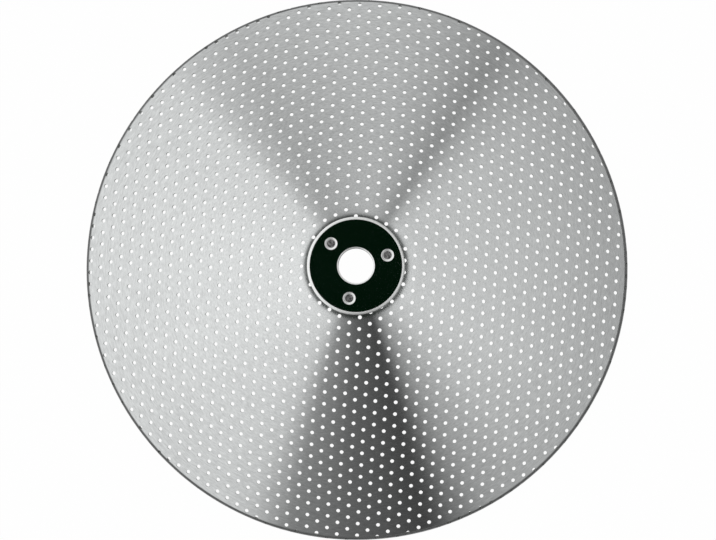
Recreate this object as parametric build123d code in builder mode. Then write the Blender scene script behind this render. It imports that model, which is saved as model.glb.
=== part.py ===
from build123d import *
from math import atan2, ceil, degrees, radians, sin, tan
import os

# Food mill sieve disc: a perforated stainless sheet, pressed to a shallow cone with a turned-down edge,
# and a thick polished washer, welded on its flat middle, whose bore takes the crank's spindle.
# The origin is under the middle of the disc, on the surface that it stands on, and +Z points up the bore.
# Lengths are in millimetres and angles in degrees.

# Sieve sheet
rim_diameter = 140.0
sheet_thickness = 0.8
cone_slope = 8.0
land_margin = 0.4
land_bend_inside = 23.0
rim_bend_inside = 0.2
skirt_height = 3.0
centre_clearance = 0.2

# Perforation, punched in staggered rows while the sheet was flat. The solid has one hole in four of one row
# in four, each at its true place and size. With 1 for modelled_every it has them all.
perforation_diameter = 1.0
perforation_pitch = 3.04
modelled_every = 4
row_angle = 26.5
first_hole_x = -0.80
first_hole_y = 0.77
edge_web = 0.25

# Hub washer
hub_diameter = 25.0
hub_thickness = 2.5
hub_edge_roll = 0.75
hub_edge_drop = 0.10
bore_diameter = 9.0
bore_edge_roll = 0.35
bore_edge_drop = 0.06

# Weld dimples in the hub washer
dimple_count = 3
dimple_diameter = 2.1
dimple_depth = 0.35
dimple_lip = 0.62
dimple_lip_drop = 0.2
dimple_angle = 18.4

# Sizes that follow from these
rim_radius = rim_diameter / 2
hub_radius = hub_diameter / 2
bore_radius = bore_diameter / 2
land_bend = (land_bend_inside + sheet_thickness) * tan(radians(cone_slope / 2))
land_radius = hub_radius + land_margin + land_bend
centre_radius = bore_radius + centre_clearance
land_height = skirt_height + (rim_radius - land_radius) * tan(radians(cone_slope))
hub_top = land_height + hub_thickness
dimple_ring_radius = (bore_radius + hub_radius) / 2
dimple_radius = dimple_diameter / 2
hole_step = perforation_pitch * modelled_every
row_step = hole_step * sin(radians(60))


def perforation_places(meridian, sieving_length):
    """The punched rows as they lie on the pressed sheet, each hole square to it.

    A hole keeps its distance from the middle, measured along the sheet's upper side. The holes that meet the
    centre hole's edge or the bend at the rim are left out.
    """
    margin = perforation_diameter / 2 + edge_web
    nearest = centre_radius + margin
    furthest = centre_radius + sieving_length - margin
    rows = ceil(furthest / row_step) + 1
    places = []
    for row in range(-rows, rows + 1):
        for step in range(-2 * rows, 2 * rows + 1):
            spot = Vector((step + row / 2) * hole_step, row * row_step, 0)
            spot = spot.rotate(Axis.Z, row_angle) + Vector(first_hole_x, first_hole_y, 0)
            if not nearest < spot.length < furthest:
                continue
            along = spot.length - centre_radius
            point = meridian.position_at(along, PositionMode.LENGTH)
            heading = meridian.tangent_at(along, PositionMode.LENGTH)
            turn = Rot(0, 0, degrees(atan2(spot.Y, spot.X)))
            tilt = Rot(0, degrees(atan2(-heading.Y, heading.X)), 0)
            places.append(turn * Pos(point.X, 0, point.Y) * tilt)
    return places


# The sheet's section follows its upper side from the centre hole over the land and down the cone to the foot.
with BuildPart() as sieve_sheet:
    with BuildSketch(Plane.XZ) as section:
        with BuildLine() as upper_side:
            FilletPolyline(
                (centre_radius, land_height),
                (land_radius, land_height),
                (rim_radius, skirt_height),
                (rim_radius, 0),
                radius=[land_bend_inside + sheet_thickness, rim_bend_inside + sheet_thickness],
            )
            meridian = upper_side.wire()
            sieving_length = sum(edge.length for edge in meridian.edges()[:3])
            offset(amount=sheet_thickness, side=Side.RIGHT)
        make_face()
    revolve(axis=Axis.Z)
    with Locations(*perforation_places(meridian, sieving_length)):
        Cylinder(perforation_diameter / 2, 4 * sheet_thickness, mode=Mode.SUBTRACT)

# What the welding electrode leaves in the washer: a flat bottom and a mouth that rolls into the top face.
with BuildPart() as electrode_mark:
    with BuildSketch(Plane.XZ):
        with BuildLine():
            mouth = TangentArc(
                (dimple_radius + dimple_lip, hub_top),
                (dimple_radius, hub_top - dimple_lip_drop),
                tangent=(-1, 0),
            )
            Polyline(
                mouth @ 1,
                (dimple_radius, hub_top - dimple_depth),
                (0, hub_top - dimple_depth),
                (0, hub_top),
                mouth @ 0,
            )
        make_face()
    revolve(axis=Axis.Z)

# The washer stands on the land. It is punched, so that its outer edge and its bore's edge roll down.
with BuildPart() as hub_washer:
    with BuildSketch(Plane.XZ):
        with BuildLine():
            top_face = Line((bore_radius + bore_edge_roll, hub_top), (hub_radius - hub_edge_roll, hub_top))
            outer_roll = TangentArc(top_face @ 1, (hub_radius, hub_top - hub_edge_drop), tangent=(1, 0))
            bore_roll = TangentArc(top_face @ 0, (bore_radius, hub_top - bore_edge_drop), tangent=(-1, 0))
            Polyline(
                outer_roll @ 1,
                (hub_radius, land_height),
                (bore_radius, land_height),
                bore_roll @ 1,
            )
        make_face()
    revolve(axis=Axis.Z)
    with PolarLocations(dimple_ring_radius, dimple_count, start_angle=dimple_angle):
        add(electrode_mark.part, mode=Mode.SUBTRACT)

sieve_sheet.part.label = "sieve_sheet"
hub_washer.part.label = "hub_washer"

os.makedirs("parts", exist_ok=True)
export_step(sieve_sheet.part, "parts/sieve_sheet.step")
export_step(hub_washer.part, "parts/hub_washer.step")
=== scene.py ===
from math import asin, cos, pi, radians, sin, tan

import bpy
import numpy as np
from mathutils import Matrix, Vector, noise


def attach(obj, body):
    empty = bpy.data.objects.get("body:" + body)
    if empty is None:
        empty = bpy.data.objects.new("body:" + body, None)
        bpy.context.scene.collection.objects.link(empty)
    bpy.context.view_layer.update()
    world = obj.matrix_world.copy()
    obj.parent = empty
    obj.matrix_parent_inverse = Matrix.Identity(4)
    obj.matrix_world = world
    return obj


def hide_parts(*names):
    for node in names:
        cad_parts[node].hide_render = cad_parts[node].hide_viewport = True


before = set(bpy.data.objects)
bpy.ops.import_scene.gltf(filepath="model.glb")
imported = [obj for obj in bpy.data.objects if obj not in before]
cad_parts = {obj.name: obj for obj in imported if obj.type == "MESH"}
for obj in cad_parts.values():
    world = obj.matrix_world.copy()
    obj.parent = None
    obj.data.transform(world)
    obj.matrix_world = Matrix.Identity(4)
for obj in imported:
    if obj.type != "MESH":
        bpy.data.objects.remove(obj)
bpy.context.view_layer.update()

# Sieve sheet: one stainless sheet, punched all over with fine holes in staggered rows, cut to a round blank
# with a centre hole, and pressed to a shallow cone with a flat land in the middle and its edge turned down.
# It is made in that order here: the flat blank, the holes, the press. Its finish is brushed in circles.
sheet_thickness = 0.0008
rim_radius = 0.070
skirt_height = 0.003
land_end = 0.0129
centre_radius = 0.0047
cone_slope = radians(8)
land_bend = 0.0238
rim_bend = 0.001
hole_diameter = 0.001
hole_pitch = 0.00304
hole_row_angle = radians(26.5)
first_hole_x = -0.00080
first_hole_y = 0.00077
hole_edge_web = 0.00025
land_radius = land_end + land_bend * tan(cone_slope / 2)
land_height = skirt_height + (rim_radius - land_radius) * tan(cone_slope)

# How far out each bend lies on the flat blank, measured along the sheet's upper side.
rim_turn = pi / 2 - cone_slope
cone_start = land_end + land_bend * cone_slope
cone_length = (rim_radius - land_radius) / cos(cone_slope)
cone_length -= land_bend * tan(cone_slope / 2) + rim_bend * tan(rim_turn / 2)
rim_start = cone_start + cone_length
skirt_start = rim_start + rim_bend * rim_turn
blank_radius = skirt_start + skirt_height - rim_bend * tan(rim_turn / 2)


class Wire:
    """A socket of a node tree: arithmetic on it adds Math nodes, and node() adds any other node."""

    def __init__(self, tree, socket=None):
        self.tree = tree
        self.socket = socket

    def node(self, kind, settings=None, output=0, **sockets):
        made = self.tree.nodes.new(kind)
        for name, value in (settings or {}).items():
            if name == "stops":
                ramp = made.color_ramp.elements
                while len(ramp) < len(value):
                    ramp.new(1.0)
                for stop, (place, level) in zip(ramp, value):
                    stop.position = place / 360
                    stop.color = (level, level, level, 1.0)
            elif name == "interpolation":
                made.color_ramp.interpolation = value
            else:
                setattr(made, name, value)
        for name, value in sockets.items():
            key = int(name[2:]) if name[2:].isdigit() else name.replace("_", " ")
            if isinstance(value, Wire):
                self.tree.links.new(value.socket, made.inputs[key])
            else:
                made.inputs[key].default_value = value
        return Wire(self.tree, made.outputs[output] if made.outputs else None)

    def maths(self, operation, *values):
        places = {f"in{place}": value for place, value in enumerate(values)}
        return self.node("ShaderNodeMath", {"operation": operation}, **places)

    def __add__(self, other):
        return self.maths("ADD", self, other)

    def __sub__(self, other):
        return self.maths("SUBTRACT", self, other)

    def __rsub__(self, other):
        return self.maths("SUBTRACT", other, self)

    def __mul__(self, other):
        return self.maths("MULTIPLY", self, other)

    def __truediv__(self, other):
        return self.maths("DIVIDE", self, other)

    def __rtruediv__(self, other):
        return self.maths("DIVIDE", other, self)

    __radd__ = __add__
    __rmul__ = __mul__

    def above(self, level):
        return self.maths("GREATER_THAN", self, level)

    def between(self, low, high):
        return self.maths("MINIMUM", self.maths("MAXIMUM", self, low), high)

    def parts(self):
        split = self.node("ShaderNodeSeparateXYZ", Vector=self).socket.node
        return [Wire(self.tree, output) for output in split.outputs]


def brushed_steel():
    """Stainless brushed in circles, with painted shade at its turned-down edge and raw sheared metal in the
    holes.
    """
    grain_rings = 3200.0
    grain_breaks = 40.0
    band_rings = 900.0
    band_breaks = 4.0
    edge_shade_start = 0.0008
    edge_shade_end = 0.0005
    steel_colour = (0.612, 0.626, 0.624, 1.0)
    sheared_colour = (0.30, 0.31, 0.30, 1.0)
    material = bpy.data.materials.new("brushed_stainless_sheet")
    material.use_nodes = True
    material.node_tree.nodes.clear()
    wire = Wire(material.node_tree)
    place = wire.node("ShaderNodeTexCoord", output="Object")
    x, y, z = place.parts()
    radius = wire.maths("SQRT", x * x + y * y)
    arc = wire.node(
        "ShaderNodeCombineXYZ", X=radius * grain_rings,
        Y=x / radius * grain_breaks, Z=y / radius * grain_breaks)
    grain = wire.node("ShaderNodeTexNoise", Vector=arc, Scale=1.0, Detail=3.0, Roughness=0.6)
    wide_arc = wire.node(
        "ShaderNodeCombineXYZ", X=radius * band_rings,
        Y=x / radius * band_breaks, Z=y / radius * band_breaks)
    bands = wire.node("ShaderNodeTexNoise", Vector=wide_arc, Scale=1.0, Detail=2.0)
    cloud = wire.node("ShaderNodeTexNoise", Vector=place, Scale=60.0, Detail=3.0)
    punched = wire.node("ShaderNodeAttribute", {"attribute_name": "punched"}, output="Fac")
    # Painted shade: the bend is painted darker, the skirt less, for the dark surroundings they reflect.
    on_bend = wire.node(
        "ShaderNodeMapRange", Value=radius,
        From_Min=rim_radius - edge_shade_start, From_Max=rim_radius - edge_shade_end)
    over_skirt = wire.node(
        "ShaderNodeMapRange", Value=z, From_Min=skirt_height - 2 * rim_bend, From_Max=skirt_height - rim_bend,
        To_Min=0.45)
    dull_and_painted_shade = on_bend * over_skirt
    tone = (0.61 + grain * 0.72 + bands * 0.05 + cloud * 0.03) * (1.0 - dull_and_painted_shade * 0.76)
    steel = wire.node(
        "ShaderNodeMix", {"data_type": "RGBA", "blend_type": "MULTIPLY"}, output=2,
        in0=1.0, in6=steel_colour, in7=tone)
    colour = wire.node(
        "ShaderNodeMix", {"data_type": "RGBA"}, output=2, in0=punched, in6=steel, in7=sheared_colour)
    rough = 0.045 + grain * 0.04 + bands * 0.015 + cloud * 0.015 + punched * 0.25 + dull_and_painted_shade * 0.10
    relief = wire.node("ShaderNodeBump", Strength=0.04, Distance=0.00002, Height=grain)
    shader = wire.node(
        "ShaderNodeBsdfPrincipled", Base_Color=colour, Roughness=rough, Metallic=1.0, Anisotropic=1.0,
        Anisotropic_Rotation=0.25, Normal=relief)
    wire.node("ShaderNodeOutputMaterial", Surface=shader)
    return material


def round_blank(name, section, turns):
    """A ring, turned from a closed section of (radius, height) points that runs clockwise."""
    points = []
    faces = []
    for turn in range(turns):
        angle = 2 * pi * turn / turns
        points += [(radius * cos(angle), radius * sin(angle), height) for radius, height in section]
        here = turn * len(section)
        there = (turn + 1) % turns * len(section)
        for at in range(len(section)):
            after = (at + 1) % len(section)
            faces.append((here + at, here + after, there + after, there + at))
    mesh = bpy.data.meshes.new(name)
    mesh.from_pydata(points, [], faces)
    made = bpy.data.objects.new(name, mesh)
    bpy.context.scene.collection.objects.link(made)
    return made


def finished_mesh(piece):
    """Turns a piece's modifiers into a plain mesh."""
    seen = piece.evaluated_get(bpy.context.evaluated_depsgraph_get())
    mesh = bpy.data.meshes.new_from_object(seen)
    piece.modifiers.clear()
    piece.data = mesh
    return mesh


def corner_table(mesh):
    """For each corner of a mesh: the point it stands on, the face it belongs to and that face's normal."""
    points = np.zeros(len(mesh.loops), np.int32)
    mesh.loops.foreach_get("vertex_index", points)
    sides = np.zeros(len(mesh.polygons), np.int32)
    mesh.polygons.foreach_get("loop_total", sides)
    faces = np.repeat(np.arange(len(mesh.polygons)), sides)
    normals = np.zeros(len(mesh.polygons) * 3, np.float32)
    mesh.polygons.foreach_get("normal", normals)
    return points, faces, normals.reshape(-1, 3)[faces]


def set_facing(mesh, facing):
    """Shades a mesh smoothly with crisp edges, and its corners as they truly face where that is not zero."""
    mesh.shade_smooth()
    mesh.set_sharp_from_angle(angle=radians(40))
    mesh.normals_split_custom_set(facing.tolist())


def punch_and_press(sizes):
    """Punches a flat blank with staggered rows of holes, then bends it: land, cone, turned-down edge."""
    tree = bpy.data.node_groups.new("punch_and_press", "GeometryNodeTree")
    tree.interface.new_socket("Geometry", in_out="INPUT", socket_type="NodeSocketGeometry")
    for name in sizes:
        tree.interface.new_socket(name, in_out="INPUT", socket_type="NodeSocketFloat")
    tree.interface.new_socket("Finish", in_out="INPUT", socket_type="NodeSocketMaterial")
    tree.interface.new_socket("Geometry", in_out="OUTPUT", socket_type="NodeSocketGeometry")
    wire = Wire(tree)
    entry = tree.nodes.new("NodeGroupInput")
    size = {output.name: Wire(tree, output) for output in entry.outputs if output.name}

    # Staggered rows: every second row is moved by half a pitch.
    rows = 59
    row_spacing = size["Hole Pitch"] * sin(radians(60))
    net = wire.node(
        "GeometryNodeMeshGrid", Vertices_X=rows, Vertices_Y=rows,
        Size_X=size["Hole Pitch"] * (rows - 1), Size_Y=row_spacing * (rows - 1))
    x, y, _ = wire.node("GeometryNodeInputPosition").parts()
    odd_row = wire.maths("FLOORED_MODULO", wire.maths("ROUND", y / row_spacing), 2.0)
    staggered = wire.node("ShaderNodeCombineXYZ", X=x + odd_row * size["Hole Pitch"] * 0.5, Y=y)
    turned = wire.node(
        "ShaderNodeVectorRotate", {"rotation_type": "Z_AXIS"}, Vector=staggered, Angle=size["Row Angle"])
    first = wire.node("ShaderNodeCombineXYZ", X=size["First Hole X"], Y=size["First Hole Y"])
    spots = wire.node("ShaderNodeVectorMath", {"operation": "ADD"}, in0=turned, in1=first)
    net = wire.node("GeometryNodeSetPosition", Geometry=net, Position=spots)
    spot = wire.node("GeometryNodeInputPosition")
    out = wire.node("ShaderNodeVectorMath", {"operation": "LENGTH"}, output="Value", in0=spot)
    margin = size["Hole Diameter"] * 0.5 + size["Edge Web"]
    past_centre = out.above(size["Centre Radius"] + margin)
    past_edge = out.above(size["Blank Radius"] - margin)
    off_blank = 1.0 - past_centre * (1.0 - past_edge)
    net = wire.node(
        "GeometryNodeDeleteGeometry", {"domain": "POINT"}, Geometry=net, Selection=off_blank.above(0.5))

    # A punch of 16 sides is a little wider, so that its hole has the area of a round one.
    punch_sides = 16
    punch_radius = size["Hole Diameter"] * 0.506
    punch = wire.node(
        "GeometryNodeMeshCylinder", {"fill_type": "NGON"}, Vertices=punch_sides, Radius=punch_radius,
        Depth=size["Thickness"] * 4.0)
    punches = wire.node("GeometryNodeInstanceOnPoints", Points=net, Instance=punch)
    punches = wire.node("GeometryNodeRealizeInstances", Geometry=punches)
    sheet = wire.node(
        "GeometryNodeMeshBoolean", {"operation": "DIFFERENCE", "solver": "MANIFOLD"},
        Mesh_1=size["Geometry"], Mesh_2=punches)
    sheared = 1.0 - wire.maths("ABSOLUTE", wire.node("GeometryNodeInputNormal").parts()[2]).above(0.5)
    sheet = wire.node(
        "GeometryNodeStoreNamedAttribute", {"data_type": "FLOAT", "domain": "FACE"},
        Geometry=sheet, Name="punched", Value=sheared)

    # The press bends the sheet twice, and a point keeps its way along the upper side and its depth under it.
    x, y, depth = wire.node("GeometryNodeInputPosition").parts()
    way = wire.maths("SQRT", x * x + y * y)
    slope = size["Cone Slope"]
    first_bend = ((way - size["Land End"]) / size["Land Bend"]).between(0.0, slope)
    second_bend = ((way - size["Rim Start"]) / size["Rim Bend"]).between(0.0, pi / 2 - slope)
    cone_from = size["Land End"] + size["Land Bend"] * slope
    run = (way - cone_from).between(0.0, size["Rim Start"] - cone_from)
    skirt_from = size["Rim Start"] + size["Rim Bend"] * (pi / 2 - slope)
    drop = wire.maths("MAXIMUM", way - skirt_from, 0.0)
    tilt = first_bend + second_bend
    sine = wire.maths("SINE", tilt)
    cosine = wire.maths("COSINE", tilt)
    slope_sine = wire.maths("SINE", slope)
    slope_cosine = wire.maths("COSINE", slope)
    steep = slope + second_bend
    radius = wire.maths("MINIMUM", way, size["Land End"]) + size["Land Bend"] * wire.maths("SINE", first_bend)
    radius = radius + run * slope_cosine + size["Rim Bend"] * (wire.maths("SINE", steep) - slope_sine)
    height = size["Land Height"] - size["Land Bend"] * (1.0 - wire.maths("COSINE", first_bend))
    height = height - run * slope_sine
    height = height - size["Rim Bend"] * (slope_cosine - wire.maths("COSINE", steep)) - drop
    radius = radius + depth * sine
    height = height + depth * cosine
    normal = wire.node("ShaderNodeCombineXYZ", X=x / way * sine, Y=y / way * sine, Z=cosine)
    sheet = wire.node(
        "GeometryNodeStoreNamedAttribute", {"data_type": "FLOAT_VECTOR", "domain": "POINT"},
        Geometry=sheet, Name="facing", Value=normal)
    pressed = wire.node("ShaderNodeCombineXYZ", X=x / way * radius, Y=y / way * radius, Z=height)
    sheet = wire.node("GeometryNodeSetPosition", Geometry=sheet, Position=pressed)
    sheet = wire.node("GeometryNodeRealizeInstances", Geometry=sheet)
    sheet = wire.node("GeometryNodeSetMaterial", Geometry=sheet, Material=size["Finish"])
    wire.node("NodeGroupOutput", Geometry=sheet)
    return tree


sheet_turns = 180
land_middle = 0.0095
skirt_middle = skirt_start + 0.0010
rings = [centre_radius, land_middle]
rings += list(np.linspace(land_end, cone_start, 8))
rings += list(np.linspace(cone_start, rim_start, 7))[1:]
rings += list(np.linspace(rim_start, skirt_start, 10))[1:]
rings += [skirt_middle, blank_radius]
section = [(radius, 0.0) for radius in rings] + [(radius, -sheet_thickness) for radius in reversed(rings)]
sheet = round_blank("sieve_sheet_brushed", section, sheet_turns)
sheet_sizes = {
    "Thickness": sheet_thickness,
    "Centre Radius": centre_radius,
    "Blank Radius": blank_radius,
    "Hole Diameter": hole_diameter,
    "Hole Pitch": hole_pitch,
    "Row Angle": hole_row_angle,
    "First Hole X": first_hole_x,
    "First Hole Y": first_hole_y,
    "Edge Web": hole_edge_web,
    "Land Height": land_height,
    "Land End": land_end,
    "Land Bend": land_bend,
    "Cone Slope": cone_slope,
    "Rim Start": rim_start,
    "Rim Bend": rim_bend,
}
press = sheet.modifiers.new("punch_and_press", "NODES")
press.node_group = punch_and_press(sheet_sizes)
for socket in press.node_group.interface.items_tree:
    if socket.in_out == "INPUT" and socket.name in sheet_sizes:
        press[socket.identifier] = sheet_sizes[socket.name]
    elif socket.in_out == "INPUT" and socket.name == "Finish":
        press[socket.identifier] = brushed_steel()
mesh = finished_mesh(sheet)

# The sheet faces as the press has bent it, and the sheared edges of the holes stay crisp.
points, faces, normals = corner_table(mesh)
facing = np.zeros(len(mesh.vertices) * 3, np.float32)
mesh.attributes["facing"].data.foreach_get("vector", facing)
facing = facing.reshape(-1, 3)[points]
sheared = np.zeros(len(mesh.polygons), np.float32)
mesh.attributes["punched"].data.foreach_get("value", sheared)
upright = np.sign((facing * normals).sum(1)) * (sheared[faces] < 0.5)
set_facing(mesh, facing * upright[:, None])
mesh.attributes.remove(mesh.attributes["facing"])
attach(sheet, "root")
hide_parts("sieve_sheet")

# Hub washer: a thick punched washer, mirror-polished, whose outer edge and bore's edge roll down. Its bore
# takes the crank's spindle. Three dimples, left by the electrodes that weld it on, have a raw burnt bottom.
hub_radius = 0.0125
hub_thickness = 0.0025
hub_edge_roll = 0.00075
hub_edge_drop = 0.00010
bore_radius = 0.0045
bore_edge_roll = 0.00035
bore_edge_drop = 0.00006
dimple_count = 3
dimple_radius = 0.00105
dimple_depth = 0.00035
dimple_lip = 0.00062
dimple_lip_drop = 0.0002
dimple_ring = 0.0085
dimple_angle = radians(18.4)
hub_top = land_height + hub_thickness


def polished_hub():
    """Mirror-polished stainless, satin rolled edges with a painted highlight, dull sheared side, burnt grey
    welds.
    """
    weld_start = 0.00020
    weld_full = 0.00027
    roll_full = 0.000006
    edge_skin = 0.00002
    scratch_rings = 5000.0
    scratch_breaks = 2.0
    mirror_colour = (0.66, 0.67, 0.66, 1.0)
    edge_highlight_colour = (0.93, 0.94, 0.93, 1.0)
    sheared_colour = (0.17, 0.18, 0.17, 1.0)
    material = bpy.data.materials.new("polished_stainless_hub")
    material.use_nodes = True
    material.node_tree.nodes.clear()
    wire = Wire(material.node_tree)
    place = wire.node("ShaderNodeTexCoord", output="Object")
    x, y, z = place.parts()
    radius = wire.maths("SQRT", x * x + y * y)
    low = wire.node(
        "ShaderNodeMapRange", Value=z, From_Min=hub_top - weld_start, From_Max=hub_top - weld_full)
    rolled = wire.node("ShaderNodeMapRange", Value=z, From_Min=hub_top, From_Max=hub_top - roll_full)
    sheared = 1.0 - radius.above(bore_radius + edge_skin) * (1.0 - radius.above(hub_radius - edge_skin))
    weld = low * (1.0 - sheared)
    arc = wire.node(
        "ShaderNodeCombineXYZ", X=radius * scratch_rings,
        Y=x / radius * scratch_breaks, Z=y / radius * scratch_breaks)
    scratches = wire.node("ShaderNodeTexNoise", Vector=arc, Scale=1.0, Detail=4.0)
    haze = wire.node("ShaderNodeTexNoise", Vector=place, Scale=180.0, Detail=4.0)
    burnt = wire.node("ShaderNodeTexNoise", Vector=place, Scale=2600.0, Detail=4.0, Roughness=0.7)
    burnt_tone = (burnt - 0.36).between(0.0, 1.0) * 1.1 + 0.015
    # Painted highlight: the rolled edges get a lighter colour than the mirror face, for the light they catch.
    satin_and_highlight = wire.node(
        "ShaderNodeMix", {"data_type": "RGBA"}, output=2, in0=rolled, in6=mirror_colour,
        in7=edge_highlight_colour)
    steel = wire.node(
        "ShaderNodeMix", {"data_type": "RGBA"}, output=2, in0=sheared, in6=satin_and_highlight, in7=sheared_colour)
    colour = wire.node("ShaderNodeMix", {"data_type": "RGBA"}, output=2, in0=weld, in6=steel, in7=burnt_tone)
    rough = 0.018 + haze * 0.02 + scratches * 0.012 + rolled * 0.26 + weld * 0.12 + sheared * 0.10
    relief = wire.node(
        "ShaderNodeBump", Strength=0.15, Distance=0.00003, Height=burnt * weld + scratches * 0.01)
    shader = wire.node(
        "ShaderNodeBsdfPrincipled", Base_Color=colour, Roughness=rough, Metallic=1.0, Normal=relief)
    wire.node("ShaderNodeOutputMaterial", Surface=shader)
    return material


def press_dimples():
    """Takes the electrode's shape out of the washer at equal steps round its ring."""
    tree = bpy.data.node_groups.new("press_dimples", "GeometryNodeTree")
    tree.interface.new_socket("Geometry", in_out="INPUT", socket_type="NodeSocketGeometry")
    tree.interface.new_socket("Electrode", in_out="INPUT", socket_type="NodeSocketObject")
    tree.interface.new_socket("Dimples", in_out="INPUT", socket_type="NodeSocketInt")
    tree.interface.new_socket("Ring Radius", in_out="INPUT", socket_type="NodeSocketFloat")
    tree.interface.new_socket("First Angle", in_out="INPUT", socket_type="NodeSocketFloat")
    tree.interface.new_socket("Finish", in_out="INPUT", socket_type="NodeSocketMaterial")
    tree.interface.new_socket("Geometry", in_out="OUTPUT", socket_type="NodeSocketGeometry")
    wire = Wire(tree)
    entry = tree.nodes.new("NodeGroupInput")
    size = {output.name: Wire(tree, output) for output in entry.outputs if output.name}
    tool = wire.node("GeometryNodeObjectInfo", output="Geometry", Object=size["Electrode"])
    angle = wire.node("GeometryNodeInputIndex") * (2 * pi) / size["Dimples"] + size["First Angle"]
    spot = wire.node(
        "ShaderNodeCombineXYZ", X=wire.maths("COSINE", angle) * size["Ring Radius"],
        Y=wire.maths("SINE", angle) * size["Ring Radius"])
    spots = wire.node("GeometryNodePoints", Count=size["Dimples"], Position=spot)

    # Each electrode is turned another way, so that no two marks look alike.
    twist = 1.7
    turned = wire.node("ShaderNodeCombineXYZ", Z=angle * twist)
    tools = wire.node("GeometryNodeInstanceOnPoints", Points=spots, Instance=tool, Rotation=turned)
    tools = wire.node("GeometryNodeRealizeInstances", Geometry=tools)
    hub = wire.node(
        "GeometryNodeMeshBoolean", {"operation": "DIFFERENCE", "solver": "MANIFOLD"},
        Mesh_1=size["Geometry"], Mesh_2=tools)
    hub = wire.node("GeometryNodeRealizeInstances", Geometry=hub)
    hub = wire.node("GeometryNodeSetMaterial", Geometry=hub, Material=size["Finish"])
    wire.node("NodeGroupOutput", Geometry=hub)
    return tree


def rolled_edge(width, drop, steps):
    """How far out and down a rolled edge lies, along an arc that leaves the flat face level."""
    bend = (width * width + drop * drop) / (2 * drop)
    turns = [asin(width / bend) * step / steps for step in range(steps + 1)]
    return [(bend * sin(turn), bend * (1 - cos(turn))) for turn in turns]


hub_turns = 192
bore_edge = [(bore_radius + bore_edge_roll - out, hub_top - down)
             for out, down in rolled_edge(bore_edge_roll, bore_edge_drop, 6)]
outer_edge = [(hub_radius - hub_edge_roll + out, hub_top - down)
              for out, down in rolled_edge(hub_edge_roll, hub_edge_drop, 10)]
section = [(bore_radius, land_height)] + bore_edge[::-1] + outer_edge + [(hub_radius, land_height)]
hub = round_blank("hub_washer_polished", section, hub_turns)

# The electrode: a rough end, a short straight side and a mouth that rolls out into the washer's face.
end_rings = 7
end_roughness = 0.00009
end_grain = 2600.0
tool_lift = 0.0000005
tool_height = 0.0006
tool_section = [(dimple_radius * ring / end_rings, -dimple_depth) for ring in range(1, end_rings + 1)]
lip = [(dimple_radius + dimple_lip - out, tool_lift - down)
       for out, down in rolled_edge(dimple_lip, dimple_lip_drop, 10)]
tool_section += lip[::-1] + [(dimple_radius + dimple_lip, tool_height)]
tool_turns = 48
tool_points = [(0.0, 0.0, hub_top - dimple_depth)]
tool_faces = []
for turn in range(tool_turns):
    angle = 2 * pi * turn / tool_turns
    for at, (radius, height) in enumerate(tool_section):
        spot = Vector((radius * cos(angle), radius * sin(angle), height))
        if at < end_rings:
            spot.z += end_roughness * noise.noise(Vector((spot.x, spot.y, 0.0)) * end_grain)
        tool_points.append((spot.x, spot.y, hub_top + spot.z))
    here = 1 + turn * len(tool_section)
    there = 1 + (turn + 1) % tool_turns * len(tool_section)
    tool_faces.append((0, there, here))
    for at in range(len(tool_section) - 1):
        tool_faces.append((here + at, there + at, there + at + 1, here + at + 1))
tool_faces.append([1 + turn * len(tool_section) + len(tool_section) - 1 for turn in range(tool_turns)])
tool_mesh = bpy.data.meshes.new("electrode")
tool_mesh.from_pydata(tool_points, [], tool_faces)
electrode = bpy.data.objects.new("electrode", tool_mesh)
bpy.context.scene.collection.objects.link(electrode)

weld = hub.modifiers.new("press_dimples", "NODES")
weld.node_group = press_dimples()
hub_sizes = {
    "Electrode": electrode,
    "Dimples": dimple_count,
    "Ring Radius": dimple_ring,
    "First Angle": dimple_angle,
    "Finish": polished_hub(),
}
for socket in weld.node_group.interface.items_tree:
    if socket.in_out == "INPUT" and socket.name in hub_sizes:
        weld[socket.identifier] = hub_sizes[socket.name]
mesh = finished_mesh(hub)
bpy.data.objects.remove(electrode)

# The polished face is flat right up to the edges that roll away from it.
face_skin = 0.000001
face_up = 0.8
points, _, normals = corner_table(mesh)
places = np.zeros(len(mesh.vertices) * 3, np.float32)
mesh.vertices.foreach_get("co", places)
on_face = (places.reshape(-1, 3)[points, 2] > hub_top - face_skin) & (normals[:, 2] > face_up)
set_facing(mesh, np.where(on_face[:, None], (0.0, 0.0, 1.0), (0.0, 0.0, 0.0)))
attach(hub, "root")
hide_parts("hub_washer")

# Stage: a plain white floor under the disc. The camera and the metal see it white, and it keeps a soft
# shadow.
white_share = 0.985
floor_mesh = bpy.data.meshes.new("floor")
floor_mesh.from_pydata([(-4, -4, 0), (4, -4, 0), (4, 4, 0), (-4, 4, 0)], [], [(0, 1, 2, 3)])
floor = bpy.data.objects.new("floor", floor_mesh)
bpy.context.scene.collection.objects.link(floor)
floor_material = bpy.data.materials.new("white_floor")
floor_material.use_nodes = True
floor_material.node_tree.nodes.clear()
wire = Wire(floor_material.node_tree)
camera_ray = wire.node("ShaderNodeLightPath", output="Is Camera Ray")
seen_by = wire.node("ShaderNodeLightPath", output="Is Glossy Ray")
through = wire.node("ShaderNodeLightPath", output="Is Transmission Ray")
seen = wire.maths("MINIMUM", camera_ray + seen_by + through, 1.0)
matt = wire.node("ShaderNodeBsdfDiffuse", Color=(0.85, 0.85, 0.85, 1.0))
white = wire.node("ShaderNodeEmission", Color=(1.0, 1.0, 1.0, 1.0), Strength=1.0)
shown = wire.node("ShaderNodeMixShader", in0=seen * white_share, in1=matt, in2=white)
wire.node("ShaderNodeOutputMaterial", Surface=shown)
floor_mesh.materials.append(floor_material)

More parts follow.
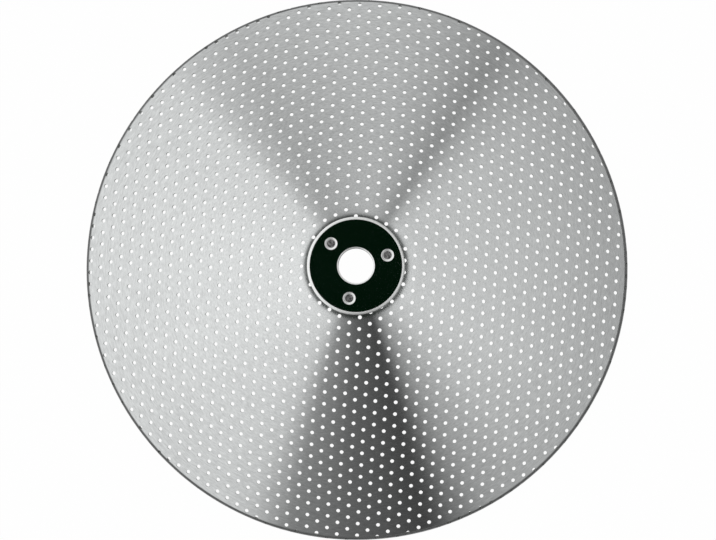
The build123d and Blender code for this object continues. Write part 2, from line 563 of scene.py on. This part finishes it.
# Light: large soft panels round a dark opening, through which the camera looks down. The brushed sheet shows
# the gaps between them as dark sectors. Under the panels are dim walls, and the camera sees white behind the
# floor. The stops of each ramp are headings in degrees and how bright it is there.
opening_x = -0.0165
opening_y = 0.0602
opening_edge = (0.05, 0.065)
panel_edge = (0.32, 0.41)
wall_edge = (0.65, 0.75)
opening_colour = (0.001, 0.008, 0.003, 1.0)
horizon = 0.02
world = bpy.data.worlds.new("studio")
world.use_nodes = True
world.node_tree.nodes.clear()
bpy.context.scene.world = world
wire = Wire(world.node_tree)
x, y, z = wire.node("ShaderNodeTexCoord", output="Generated").parts()
beside = x - opening_x
beyond = y - opening_y
spread = wire.maths("SQRT", beside * beside + beyond * beyond)
heading = wire.maths("FLOORED_MODULO", wire.maths("ARCTAN2", beyond, beside) / (2 * pi), 1.0)
panels = wire.node(
    "ShaderNodeValToRGB",
    {"stops": [
        (0, 0.94), (40, 0.88), (50, 0.72), (57, 0.42), (66, 0.58), (78, 0.68), (118, 0.53), (127, 0.66),
        (136, 1.00), (165, 1.15), (205, 1.15), (238, 0.98), (246, 0.82), (254, 0.40), (268, 0.18),
        (285, 0.09), (288, 0.11), (296, 0.46), (312, 0.85), (330, 0.97), (360, 0.94),
    ]},
    Fac=heading)
panel_ends = wire.node(
    "ShaderNodeValToRGB",
    {"stops": [
        (0, 0.16), (50, 0.24), (90, 0.92), (140, 0.90), (180, 0.95), (245, 0.85), (256, 0.25), (285, 0.06),
        (300, 0.45), (360, 0.16),
    ]},
    Fac=heading)
walls = wire.node(
    "ShaderNodeValToRGB",
    {"stops": [
        (0, 0.45), (45, 0.55), (90, 0.70), (135, 0.85), (180, 0.70), (225, 0.55), (270, 0.35), (315, 0.40),
        (360, 0.45),
    ]},
    Fac=heading)


def zone(value, start, end, inside, outside):
    """Goes softly from one light to the next as the value goes from start to end."""
    share = wire.node(
        "ShaderNodeMapRange", {"interpolation_type": "SMOOTHSTEP"}, Value=value, From_Min=start, From_Max=end)
    return wire.node("ShaderNodeMix", {"data_type": "RGBA"}, output=2, in0=share, in6=inside, in7=outside)


light = zone(spread, *opening_edge, opening_colour, panels)
light = zone(spread, *panel_edge, light, panel_ends)
light = zone(spread, *wall_edge, light, walls)
camera_ray = wire.node("ShaderNodeLightPath", output="Is Camera Ray")
pale = wire.maths("MAXIMUM", camera_ray, 1.0 - z.above(horizon))
light = wire.node(
    "ShaderNodeMix", {"data_type": "RGBA"}, output=2, in0=pale, in6=light, in7=(1.0, 1.0, 1.0, 1.0))
background = wire.node("ShaderNodeBackground", Color=light, Strength=1.0)
wire.node("ShaderNodeOutputWorld", Surface=background)

# Camera: almost straight above, from about 70 centimetres, tipped a little towards the lower edge of the
# picture.
view = bpy.data.cameras.new("camera")
view.sensor_fit = "HORIZONTAL"
view.sensor_width = 36.0
view.lens = 140.9
view.clip_start = 0.01
view.clip_end = 20.0
camera = bpy.data.objects.new("camera", view)
bpy.context.scene.collection.objects.link(camera)
tip = radians(3.451)
lean = radians(-0.948)
right = Vector((cos(lean), -sin(tip) * sin(lean), cos(tip) * sin(lean)))
up = Vector((0.0, cos(tip), sin(tip)))
back = Vector((-sin(lean), -sin(tip) * cos(lean), cos(tip) * cos(lean)))
stand_right = 0.000496
stand_up = -0.000954
stand_back = 0.7164
stand = Vector((0.0, 0.0, land_height)) + right * stand_right + up * stand_up + back * stand_back
camera.matrix_world = Matrix.Translation(stand) @ Matrix((right, up, back)).transposed().to_4x4()
bpy.context.scene.camera = camera

bpy.context.scene.view_settings.view_transform = "Standard"
